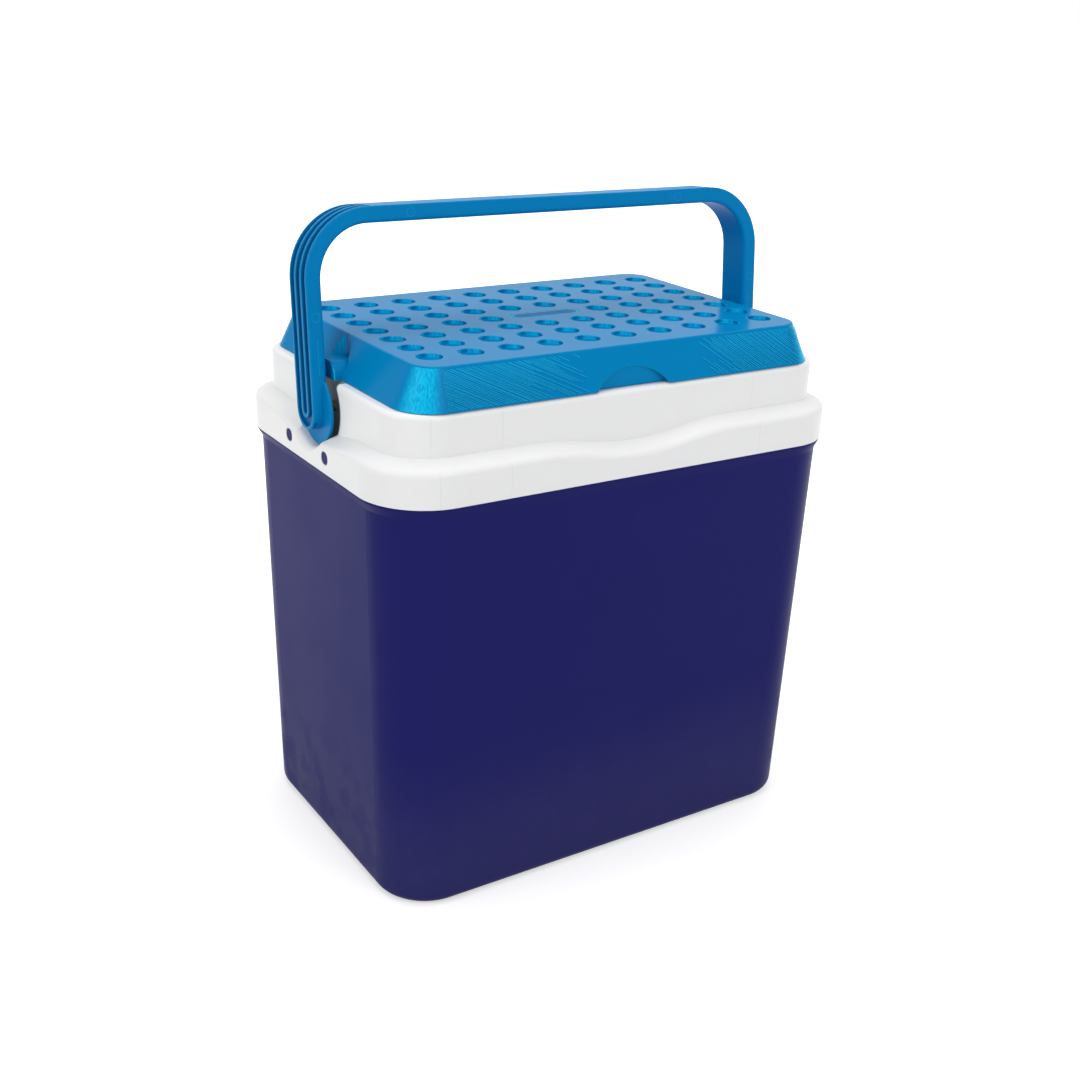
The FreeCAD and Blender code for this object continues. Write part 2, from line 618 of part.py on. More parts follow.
def lid_cover():
    lid = taper(LID_LOW, LID_HIGH)
    rim = [e for e in lid.Edges if near(e.BoundBox.ZMin, LID_TOP)]
    lid = lid.makeFillet(LID_EDGE_ROUND, rim)
    lid = lid.cut(both_ends(recess_block(0)))
    lid = lid.fuse(both_ends(lid_lug()))
    lid = lid.cut(notch_block(0))
    lid = lid.cut(lid_cavity(LID_WALL, LID_BOTTOM, LID_TOP - LID_PLATE))
    dimples = []
    clear_x = (BADGE_LENGTH + DIMPLE_DIAMETER) / 2
    clear_y = (BADGE_WIDTH + DIMPLE_DIAMETER) / 2
    for x in dimple_places(LID_TOP_L, DIMPLE_PITCH_X):
        for y in dimple_places(LID_TOP_W, DIMPLE_PITCH_Y):
            if abs(x) < clear_x and abs(y) < clear_y:
                continue
            dimples.append(Part.makeCylinder(DIMPLE_DIAMETER / 2, DIMPLE_DEPTH + 1,
                                             V(x, y, LID_TOP - DIMPLE_DEPTH)))
    lid = lid.cut(Part.makeCompound(dimples))
    low = LID_TOP - BADGE_DEPTH
    ring = block(BADGE_LENGTH / 2, BADGE_WIDTH / 2, BADGE_WIDTH / 2 - 0.01, low, FAR)
    pad = block(BADGE_LENGTH / 2 - BADGE_LINE, BADGE_WIDTH / 2 - BADGE_LINE,
                BADGE_WIDTH / 2 - BADGE_LINE - 0.01, low - 1, FAR + 1)
    return lid.cut(ring.cut(pad))


PLUG_L = MOUTH_L - PLUG_FIT
PLUG_W = MOUTH_W - PLUG_FIT
PLUG_R = MOUTH_CORNER - PLUG_FIT
PLUG_BOTTOM = LID_BOTTOM - PLUG_DEPTH


def lid_base():
    plate = lid_cavity(LID_WALL + FIT, LID_BOTTOM, LID_BOTTOM + BASE_PLATE)
    plug = taper((PLUG_L - PLUG_DRAFT, PLUG_W - PLUG_DRAFT, PLUG_R - PLUG_DRAFT,
                  PLUG_BOTTOM), (PLUG_L, PLUG_W, PLUG_R, LID_BOTTOM))
    bottom = [e for e in plug.Edges if near(e.BoundBox.ZMax, PLUG_BOTTOM)]
    plug = plug.makeFillet(PLUG_ROUND, bottom)
    base = plate.fuse(plug)
    return base.cut(plug_room(BASE_PLATE)).removeSplitter()


def plug_room(wall):
    """Inside of the plug, with a margin that keeps the plate whole above it."""
    thin = wall + PLUG_DRAFT
    low = (PLUG_L - thin, PLUG_W - thin, PLUG_R - thin, PLUG_BOTTOM + wall)
    step = wall + PLUG_STEP
    high = (PLUG_L - step, PLUG_W - step, PLUG_R - step, LID_BOTTOM + BASE_PLATE + FIT)
    return taper(low, high)


def lid_insulation():
    upper = lid_cavity(LID_WALL + FIT, LID_BOTTOM + BASE_PLATE + FIT,
                       LID_TOP - LID_PLATE - FIT)
    return upper.fuse(plug_room(BASE_PLATE + FIT)).removeSplitter()


def export(node, shape):
    solids = shape.Solids
    print(node, "solids", len(solids), "valid", shape.isValid(),
          "volume_cm3", round(shape.Volume / 1000, 1))
    if len(solids) != 1:
        raise ValueError(node + " did not come out as one solid")
    solids[0].exportStep("parts/" + node + ".step")


def main():
    os.makedirs("parts", exist_ok=True)
    export("outer_shell", outer_shell())
    export("body_insulation", body_insulation())
    export("inner_liner", inner_liner())
    export("collar", collar())
    pin = pivot_pin()
    export("pivot_pin_right", pin)
    export("pivot_pin_left", mirror_x(pin))
    export("handle", handle())
    export("lid_cover", lid_cover())
    export("lid_insulation", lid_insulation())
    export("lid_base", lid_base())


main()
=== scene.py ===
"""Looks of a hard cooler chest: body, collar, bail handle, lift-off lid and a plain studio."""

import logging
import math
from dataclasses import dataclass, field
from enum import Enum
from typing import Sequence, Union

import bpy
from mathutils import Matrix, Vector


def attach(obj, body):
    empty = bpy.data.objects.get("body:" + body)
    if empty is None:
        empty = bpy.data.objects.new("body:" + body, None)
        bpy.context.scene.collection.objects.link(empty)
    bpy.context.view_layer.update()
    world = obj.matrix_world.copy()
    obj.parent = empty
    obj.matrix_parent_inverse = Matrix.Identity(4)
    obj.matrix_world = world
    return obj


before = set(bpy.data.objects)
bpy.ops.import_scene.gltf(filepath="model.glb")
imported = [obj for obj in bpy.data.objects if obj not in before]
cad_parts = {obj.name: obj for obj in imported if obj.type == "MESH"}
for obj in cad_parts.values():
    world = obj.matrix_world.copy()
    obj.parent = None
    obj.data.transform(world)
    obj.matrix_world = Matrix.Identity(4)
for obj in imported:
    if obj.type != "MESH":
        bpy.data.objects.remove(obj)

log = logging.getLogger("cooler_chest")

Socket = bpy.types.NodeSocket
Value = Union[float, Sequence[float], Socket]
Colour = tuple[float, float, float]
Inputs = dict[Union[str, int], Value]

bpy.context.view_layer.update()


def written(red: int, green: int, blue: int) -> Colour:
    """Turns a colour written in 0 to 255 steps into linear light."""
    steps = [c / 255 for c in (red, green, blue)]
    return tuple(c / 12.92 if c <= 0.04045 else ((c + 0.055) / 1.055) ** 2.4 for c in steps)


class Polish(Enum):
    """How a mould's face was finished, as a roughness."""

    BRIGHT = 0.17
    SATIN = 0.34
    DULL = 0.52
    RAW = 0.85


class End(Enum):
    """An end of the chest, as the sign of its place along the length."""

    LEFT = -1
    RIGHT = 1


class Graph:
    """A node tree that is filled from code."""

    def __init__(self, tree: bpy.types.NodeTree) -> None:
        """Keeps the tree."""
        self.tree = tree

    def set_input(self, socket: Socket, value: Value) -> None:
        """Links a socket to an input, or writes a constant on it."""
        if isinstance(value, Socket):
            self.tree.links.new(value, socket)
        elif isinstance(socket.default_value, (int, float, bool)) or socket.type == "STRING":
            socket.default_value = value
        else:
            size = len(socket.default_value)
            socket.default_value = (tuple(value) + (1.0,))[:size]

    def add(self, kind: str, inputs: Inputs | None = None, **settings) -> bpy.types.Node:
        """Adds a node.

        Args:
            kind: The node's type.
            inputs: A constant or a socket for each input, by name or number.
            settings: The node's own properties.

        Returns:
            The new node.
        """
        node = self.tree.nodes.new(kind)
        for name, setting in settings.items():
            setattr(node, name, setting)
        for key, value in (inputs or {}).items():
            self.set_input(node.inputs[key], value)
        return node

    def calc(self, operation: str, *values: Value) -> Socket:
        """Adds a Math node and returns its result."""
        return self.add("ShaderNodeMath", dict(enumerate(values)), operation=operation).outputs[0]

    def vector(self, operation: str, *values: Value) -> Socket:
        """Adds a Vector Math node and returns its result."""
        node = self.add("ShaderNodeVectorMath", dict(enumerate(values)), operation=operation)
        scalar = operation in ("LENGTH", "DISTANCE", "DOT_PRODUCT")
        return node.outputs["Value" if scalar else "Vector"]

    def step(self, value: Value, start: float, end: float) -> Socket:
        """Adds a smooth step that is 0 at start and 1 at end."""
        inputs = {"Value": value, "From Min": start, "From Max": end}
        node = self.add("ShaderNodeMapRange", inputs, interpolation_type="SMOOTHSTEP")
        return node.outputs["Result"]

    def fade(self, value: Value, start: float, end: float) -> Socket:
        """Adds a smooth step that is 1 at start and 0 at end."""
        return self.calc("SUBTRACT", 1.0, self.step(value, start, end))

    def both(self, first: Value, second: Value) -> Socket:
        """Multiplies two masks or numbers."""
        return self.calc("MULTIPLY", first, second)

    def split(self, vector: Value) -> tuple[Socket, Socket, Socket]:
        """Parts a vector into its three numbers."""
        return tuple(self.add("ShaderNodeSeparateXYZ", {0: vector}).outputs)

    def join(self, x: Value, y: Value, z: Value) -> Socket:
        """Puts three numbers together as a vector."""
        return self.add("ShaderNodeCombineXYZ", {0: x, 1: y, 2: z}).outputs[0]

    def length(self, x: Value, y: Value, z: Value = 0.0) -> Socket:
        """Returns how far three numbers lie from nought, taken as a vector."""
        return self.vector("LENGTH", self.join(x, y, z))

    def noise(self, vector: Value, scale: Value, detail: float = 2.0,
              rough: float = 0.5) -> Socket:
        """Adds a noise texture and returns its strength, 0 to 1."""
        inputs = {"Vector": vector, "Scale": scale, "Detail": detail, "Roughness": rough}
        return self.add("ShaderNodeTexNoise", inputs).outputs["Fac"]

    def blend(self, mask: Value, low: Value, high: Value) -> Socket:
        """Mixes two colours by a mask."""
        node = self.add("ShaderNodeMix", data_type="RGBA")
        for number, value in ((0, mask), (6, low), (7, high)):
            self.set_input(node.inputs[number], value)
        return node.outputs[2]

    def bump(self, height: Socket, normal: Socket) -> Socket:
        """Bends a normal by a relief given in metres."""
        inputs = {"Strength": 1.0, "Distance": 1.0, "Height": height, "Normal": normal}
        return self.add("ShaderNodeBump", inputs).outputs[0]

    def show(self, shader: bpy.types.Node, kind: str = "ShaderNodeOutputMaterial") -> None:
        """Links a shader to the tree's surface."""
        out = self.add(kind)
        self.tree.links.new(shader.outputs[0], out.inputs["Surface"])


def opened(owner: bpy.types.Material | bpy.types.World) -> Graph:
    """Clears the nodes of a material or a world and returns its graph."""
    owner.use_nodes = True
    owner.node_tree.nodes.clear()
    return Graph(owner.node_tree)


class EffectGroup:
    """A shader node group with named inputs and outputs, shared by several finishes."""

    def __init__(self, name: str, inputs: dict[str, float | Colour],
                 outputs: dict[str, str]) -> None:
        """Makes the empty group.

        Args:
            name: The effect's name.
            inputs: A default for each input, where a triple makes a vector.
            outputs: The socket type of each output.
        """
        self.tree = bpy.data.node_groups.new(name, "ShaderNodeTree")
        for label, default in inputs.items():
            kind = "NodeSocketVector" if isinstance(default, tuple) else "NodeSocketFloat"
            socket = self.tree.interface.new_socket(label, in_out="INPUT", socket_type=kind)
            socket.default_value = default
        for label, kind in outputs.items():
            self.tree.interface.new_socket(label, in_out="OUTPUT", socket_type=kind)
        self.graph = Graph(self.tree)
        self.given = self.graph.add("NodeGroupInput").outputs
        self.made = self.graph.add("NodeGroupOutput")

    def give(self, label: str, value: Socket) -> None:
        """Links a result to a named output."""
        self.tree.links.new(value, self.made.inputs[label])

    def place(self, graph: Graph, inputs: Inputs) -> bpy.types.NodeOutputs:
        """Places the group in a material and returns its outputs."""
        return graph.add("ShaderNodeGroup", inputs, node_tree=self.tree).outputs


def grain_effect() -> EffectGroup:
    """Fine orange-peel relief of a moulded face, with a slow drift of shade."""
    drift_scale = 0.03
    inputs = {"Vector": (0.0, 0.0, 0.0), "Size": 0.001, "Depth": 0.00001}
    group = EffectGroup("moulded_grain", inputs,
                        {"Height": "NodeSocketFloat", "Drift": "NodeSocketFloat"})
    g, given = group.graph, group.given
    scale = g.calc("DIVIDE", 1.0, given["Size"])
    fine = g.noise(given["Vector"], scale, 3.0, 0.55)
    group.give("Height", g.both(fine, given["Depth"]))
    group.give("Drift", g.noise(given["Vector"], g.both(scale, drift_scale), 2.0))
    return group


def scuff_effect() -> EffectGroup:
    """Sparse short hairline rubs that cross at two angles."""
    rub_axis = (0.4, 0.5, 0.77)
    rub_turns = ((0.6, (1.0, 14.0, 3.0)), (-0.9, (11.0, 1.0, 2.0)))
    patch_scale = 0.35
    inputs = {"Vector": (0.0, 0.0, 0.0), "Size": 0.01, "Amount": 0.3}
    group = EffectGroup("hairline_rubs", inputs, {"Mask": "NodeSocketFloat"})
    g, given = group.graph, group.given
    scale = g.calc("DIVIDE", 1.0, given["Size"])
    rubs = None
    for turn, stretch in rub_turns:
        spun = g.add("ShaderNodeVectorRotate", {"Vector": given["Vector"], "Angle": turn,
                                                "Axis": rub_axis})
        long = g.vector("MULTIPLY", spun.outputs[0], stretch)
        line = g.step(g.noise(long, scale, 1.0), 0.70, 0.74)
        rubs = line if rubs is None else g.calc("MAXIMUM", rubs, line)
    patch = g.step(g.noise(given["Vector"], g.both(scale, patch_scale), 1.0), 0.5, 0.62)
    group.give("Mask", g.both(g.both(rubs, patch), given["Amount"]))
    return group


def edge_effect() -> EffectGroup:
    """Small rounding of every sharp edge, with a mask of the eased edges."""
    group = EffectGroup("eased_edges", {"Radius": 0.0006, "Gain": 2.0},
                        {"Normal": "NodeSocketVector", "Edge Mask": "NodeSocketFloat"})
    g, given = group.graph, group.given
    eased = g.add("ShaderNodeBevel", {"Radius": given["Radius"]}, samples=4).outputs[0]
    flat = g.add("ShaderNodeNewGeometry").outputs["Normal"]
    turned = g.calc("SUBTRACT", 1.0, g.vector("DOT_PRODUCT", eased, flat))
    group.give("Normal", eased)
    group.give("Edge Mask", g.step(g.both(turned, given["Gain"]), 0.0, 1.0))
    return group


def cloud_effect() -> EffectGroup:
    """Soft uneven sheen left where the plastic flowed and cooled."""
    group = EffectGroup("cooling_clouds", {"Vector": (0.0, 0.0, 0.0), "Size": 0.08},
                        {"Mask": "NodeSocketFloat"})
    g, given = group.graph, group.given
    scale = g.calc("DIVIDE", 1.0, given["Size"])
    bend = g.add("ShaderNodeTexNoise", {"Vector": given["Vector"], "Scale": scale, "Detail": 3.0,
                                        "Distortion": 0.8}).outputs["Fac"]
    group.give("Mask", g.step(bend, 0.35, 0.72))
    return group


def line_effect() -> EffectGroup:
    """A thin soft line where a number passes a set place."""
    group = EffectGroup("thin_line", {"Number": 0.0, "Place": 0.0, "Width": 0.001},
                        {"Mask": "NodeSocketFloat"})
    g, given = group.graph, group.given
    away = g.calc("ABSOLUTE", g.calc("SUBTRACT", given["Number"], given["Place"]))
    group.give("Mask", g.fade(g.calc("DIVIDE", away, given["Width"]), 0.2, 1.0))
    return group


@dataclass
class Effects:
    """The effects that the finishes share, each built once."""

    grain: EffectGroup = field(default_factory=grain_effect)
    scuffs: EffectGroup = field(default_factory=scuff_effect)
    edges: EffectGroup = field(default_factory=edge_effect)
    clouds: EffectGroup = field(default_factory=cloud_effect)
    line: EffectGroup = field(default_factory=line_effect)


@dataclass(frozen=True)
class MouldedPlastic:
    """Finish of an injection-moulded piece; lengths in metres."""

    name: str
    colour: Colour
    deep: Colour
    # Lighter colour for real rubs and marks, and for painted highlights on edges and corners.
    wear_and_highlight: Colour
    polish: Polish
    gloss: float = 0.4
    grain_size: float = 0.0011
    grain_depth: float = 0.000012
    scuffs: float = 0.25
    clouds: float = 0.08
    cloud_size: float = 0.09
    edge_radius: float = 0.0006
    glow: float = 0.0


class PlasticSurface:
    """Colour, relief and roughness of one plastic while its nodes are put together."""

    DRIFT_TINT = 0.35
    EDGE_GAIN = 2.5
    EDGE_HIGHLIGHT = 0.75
    RUB_SIZE = 0.012
    RUB_TINT = 0.35
    RUB_ROUGH = 0.2
    IOR = 1.49
    GLOW_DEPTH = 0.004

    def __init__(self, finish: MouldedPlastic, effects: Effects) -> None:
        """Lays every moulded piece's grain, clouds, rubs and eased edges, with a painted highlight on
        the edges.

        Args:
            finish: The plastic's values.
            effects: The shared node groups.
        """
        self.finish = finish
        self.effects = effects
        self.material = bpy.data.materials.new(finish.name)
        g = self.graph = opened(self.material)
        self.place = g.add("ShaderNodeTexCoord").outputs["Object"]
        self.x, self.y, self.z = g.split(self.place)
        self.facing = g.split(g.add("ShaderNodeNewGeometry").outputs["Normal"])
        grain = effects.grain.place(g, {"Vector": self.place, "Size": finish.grain_size,
                                        "Depth": finish.grain_depth})
        self.height = grain["Height"]
        cloud = effects.clouds.place(g, {"Vector": self.place, "Size": finish.cloud_size})["Mask"]
        rubs = effects.scuffs.place(g, {"Vector": self.place, "Size": self.RUB_SIZE,
                                        "Amount": finish.scuffs})["Mask"]
        edges = effects.edges.place(g, {"Radius": finish.edge_radius, "Gain": self.EDGE_GAIN})
        self.normal = edges["Normal"]
        drift = g.both(grain["Drift"], self.DRIFT_TINT)
        self.colour = g.blend(drift, finish.colour, finish.deep)
        self.rough = g.calc("ADD", finish.polish.value, g.both(cloud, finish.clouds))
        # Painted highlight: the lighter colour laid along the eased edges, such as the dimple rims.
        self.tint(edges["Edge Mask"], finish.wear_and_highlight, self.EDGE_HIGHLIGHT)
        self.tint(rubs, finish.wear_and_highlight, self.RUB_TINT)
        self.roughen(rubs, self.RUB_ROUGH)

    def tint(self, mask: Socket, colour: Value, share: float) -> None:
        """Lays a share of a colour over the surface where the mask is 1."""
        self.colour = self.graph.blend(self.graph.both(mask, share), self.colour, colour)

    def roughen(self, mask: Socket, amount: float) -> None:
        """Adds to the roughness where the mask is 1."""
        self.rough = self.graph.calc("ADD", self.rough, self.graph.both(mask, amount))

    def lift(self, mask: Socket, height: float) -> None:
        """Raises the relief by a height in metres where the mask is 1."""
        self.height = self.graph.calc("ADD", self.height, self.graph.both(mask, height))

    def line(self, number: Value, place: float, width: float) -> Socket:
        """Returns the mask of a thin line where a number passes a place."""
        return self.effects.line.place(self.graph, {"Number": number, "Place": place,
                                                    "Width": width})["Mask"]

    def close(self) -> bpy.types.Material:
        """Links everything to the shader and returns the material."""
        g = self.graph
        shader = g.add("ShaderNodeBsdfPrincipled", {
            "Base Color": self.colour, "Roughness": self.rough,
            "Normal": g.bump(self.height, self.normal),
            "Specular IOR Level": self.finish.gloss, "IOR": self.IOR,
            "Subsurface Weight": self.finish.glow, "Subsurface Scale": self.GLOW_DEPTH})
        g.show(shader)
        return self.material


def dress(node: str, material: bpy.types.Material) -> None:
    """Puts a material in every slot of a CAD node and logs it."""
    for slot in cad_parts[node].material_slots:
        slot.material = material
    log.info("%s is dressed in %s", node, material.name)


@dataclass(frozen=True)
class Foam:
    """Finish of cut beaded foam; lengths in metres."""

    name: str
    colour: Colour = written(232, 226, 204)
    deep: Colour = written(206, 196, 166)
    bead: float = 0.004
    gap_depth: float = 0.0003
    gap_tint: float = 0.6

    def material(self, effects: Effects) -> bpy.types.Material:
        """Builds the foam's material.

        Args:
            effects: The shared node groups.

        Returns:
            The material.
        """
        base = MouldedPlastic(self.name, self.colour, self.deep, self.colour, Polish.RAW,
                              gloss=0.2, edge_radius=0.001)
        surface = PlasticSurface(base, effects)
        g = surface.graph
        cell = g.add("ShaderNodeTexVoronoi", {"Vector": surface.place, "Scale": 1 / self.bead})
        gap = g.step(cell.outputs["Distance"], 0.35, 0.75)
        surface.lift(gap, -self.gap_depth)
        surface.tint(gap, self.deep, self.gap_tint)
        return surface.close()


@dataclass(frozen=True)
class TurnedMetal:
    """Finish of a small turned metal pin; lengths in metres."""

    name: str
    colour: Colour = written(214, 176, 92)
    worn: Colour = written(240, 214, 150)
    along_pin: tuple[float, float, float] = (1.0, 0.02, 0.02)
    ring_scale: float = 9000.0
    ring_depth: float = 0.00001
    edge_radius: float = 0.0003
    rub_size: float = 0.004
    polish: float = 0.2
    unevenness: float = 0.2

    def material(self, effects: Effects) -> bpy.types.Material:
        """Builds the metal's material.

        Args:
            effects: The shared node groups.

        Returns:
            The material.
        """
        made = bpy.data.materials.new(self.name)
        g = opened(made)
        place = g.add("ShaderNodeTexCoord").outputs["Object"]
        rings = g.noise(g.vector("MULTIPLY", place, self.along_pin), self.ring_scale, 2.0)
        edges = effects.edges.place(g, {"Radius": self.edge_radius,
                                        "Gain": PlasticSurface.EDGE_GAIN})
        rubs = effects.scuffs.place(g, {"Vector": place, "Size": self.rub_size,
                                        "Amount": 0.5})["Mask"]
        dull = g.calc("ADD", g.both(rings, self.unevenness), g.both(rubs, self.unevenness))
        shader = g.add("ShaderNodeBsdfPrincipled", {
            "Base Color": g.blend(edges["Edge Mask"], self.colour, self.worn),
            "Metallic": 1.0, "Roughness": g.calc("ADD", self.polish, dull),
            "Normal": g.bump(g.both(rings, self.ring_depth), edges["Normal"])})
        g.show(shader)
        return made


@dataclass(frozen=True)
class FootPaling:
    """A paler, greyer tint and dulled blotches that rise from the tub's foot; lengths in metres."""

    start: float = 0.02
    end: float = 0.14
    colour: Colour = written(66, 65, 100)
    tint: float = 0.3
    blotch_scale: float = 42.0
    blotch_tint: float = 0.08
    blotch_rough: float = 0.14


@dataclass(frozen=True)
class MouldSeams:
    """Faint upright parting lines on the collar's long sides; lengths in metres."""

    places: tuple[float, ...] = (0.1065, 0.159)
    width: float = 0.0005
    height: float = 0.00005
    colour: Colour = written(205, 206, 208)
    tint: float = 0.25


@dataclass(frozen=True)
class HubPocketShade:
    """Painted shade, dark teal, inside the collar's round pockets behind the handle's hubs; lengths
    in metres.
    """

    height: float = 0.350
    reach: float = 0.0295
    floor: float = 0.174
    mouth: float = 0.1865
    rim_blur: float = 0.001
    mouth_blur: float = 0.004
    floor_blur: float = 0.0005
    colour: Colour = written(70, 104, 118)
    tint: float = 0.7


@dataclass
class Body:
    """Tub, foam, liner, collar and handle pins."""

    effects: Effects
    foot_paling: FootPaling = FootPaling()
    seams: MouldSeams = MouldSeams()
    pocket: HubPocketShade = HubPocketShade()
    tub: MouldedPlastic = MouldedPlastic(
        "navy_tub", written(32, 32, 98), written(26, 26, 88), written(62, 62, 122), Polish.SATIN,
        gloss=0.03, grain_size=0.0016, grain_depth=0.000016, scuffs=0.15, clouds=0.05,
        cloud_size=0.07)
    rim: MouldedPlastic = MouldedPlastic(
        "white_collar", written(234, 234, 234), written(226, 227, 229), written(246, 246, 246),
        Polish.SATIN, gloss=0.3, grain_size=0.0012, scuffs=0.15, glow=0.08, edge_radius=0.0008)
    lining: MouldedPlastic = MouldedPlastic(
        "pale_liner", written(232, 235, 238), written(222, 226, 231), written(242, 243, 245),
        Polish.SATIN, gloss=0.45, scuffs=0.35, edge_radius=0.001)

    def dress_tub(self) -> None:
        """Dresses the tub, paler and greyer towards its foot, with dulled blotches there."""
        skin = PlasticSurface(self.tub, self.effects)
        g = skin.graph
        foot_paling = self.foot_paling
        low = g.fade(skin.z, foot_paling.start, foot_paling.end)
        blotch = g.step(g.noise(skin.place, foot_paling.blotch_scale, 3.0, 0.6), 0.45, 0.62)
        dulled = g.both(low, blotch)
        skin.roughen(dulled, foot_paling.blotch_rough)
        # Paler, greyer tint towards the foot.
        skin.tint(low, foot_paling.colour, foot_paling.tint)
        skin.tint(dulled, self.tub.wear_and_highlight, foot_paling.blotch_tint)
        dress("outer_shell", skin.close())

    def dress_collar(self) -> None:
        """Dresses the collar, with the mould's upright parting lines and painted shade in the hub
        pockets.
        """
        skin = PlasticSurface(self.rim, self.effects)
        g = skin.graph
        across = g.calc("ABSOLUTE", skin.x)
        side = g.step(g.calc("ABSOLUTE", skin.facing[1]), 0.5, 0.8)
        seams = self.seams
        for place in seams.places:
            seam = g.both(skin.line(across, place, seams.width), side)
            skin.lift(seam, seams.height)
            skin.tint(seam, seams.colour, seams.tint)
        # Painted shade: the hub pockets' walls darkened to dark teal.
        skin.tint(self.pocket_shade_mask(skin, across), self.pocket.colour, self.pocket.tint)
        dress("collar", skin.close())

    def pocket_shade_mask(self, skin: PlasticSurface, across: Socket) -> Socket:
        """Returns the mask of the painted shade in the two hub pockets.

        Args:
            skin: The collar's surface.
            across: How far a point lies from the middle, towards either end.

        Returns:
            The mask, 1 inside the pockets.
        """
        g, pocket = skin.graph, self.pocket
        from_hub = g.length(0.0, skin.y, g.calc("SUBTRACT", skin.z, pocket.height))
        near_hub = g.fade(from_hub, pocket.reach - pocket.rim_blur, pocket.reach)
        sunk = g.fade(across, pocket.mouth - pocket.mouth_blur, pocket.mouth)
        off_floor = g.step(across, pocket.floor - 2 * pocket.floor_blur,
                           pocket.floor - pocket.floor_blur)
        return g.both(near_hub, g.both(sunk, off_floor))

    def dress_inside(self) -> None:
        """Dresses the liner, the foam and the pins."""
        dress("inner_liner", PlasticSurface(self.lining, self.effects).close())
        dress("body_insulation", Foam("body_foam").material(self.effects))
        brass = TurnedMetal("yellow_pin").material(self.effects)
        for end in End:
            dress(f"pivot_pin_{end.name.lower()}", brass)

    def build(self) -> None:
        """Dresses every piece of the body."""
        self.dress_tub()
        self.dress_collar()
        self.dress_inside()


@dataclass(frozen=True)
class EjectorMark:
    """A shallow round mark with a fine ring, left by an ejector; lengths in metres."""

    radius: float = 0.003
    on_grip: float = 0.115
    on_leg: float = 0.0643
    ring_width: float = 0.0004
    ring_height: float = 0.00008
    ring_tint: float = 0.3
    dish_edge: float = 0.002
    dish_depth: float = 0.00005


@dataclass(frozen=True)
class BandGrooveShade:
    """Painted shade in the grooves of the band's outer face, in metres.

    The walls are measured from the band's sides and the rest is depth from its outer face.
    """

    start: float = 0.0004
    full: float = 0.00192
    past_floor: float = 0.0032
    end: float = 0.004
    outer_wall: float = 0.0025
    inner_wall: float = 0.0018
    colour: Colour = written(0, 62, 120)
    tint: float = 0.55


@dataclass(frozen=True)
class LegLine:
    """A short raised line on each leg; lengths in metres."""

    place: float = 0.189
    foot: float = 0.0245
    head: float = 0.050
    blur: float = 0.001
    width: float = 0.0003
    height: float = 0.00008
    tint: float = 0.5


@dataclass(frozen=True)
class GripLines:
    """Fine lengthwise lines on top of the grip; lengths in metres."""

    places: tuple[float, ...] = (0.0045, 0.0115)
    end: float = 0.138
    blur: float = 0.002
    skin_start: float = 0.0002
    skin_end: float = 0.0006
    width: float = 0.0004
    depth: float = 0.00006
    colour: Colour = written(0, 92, 156)
    tint: float = 0.25


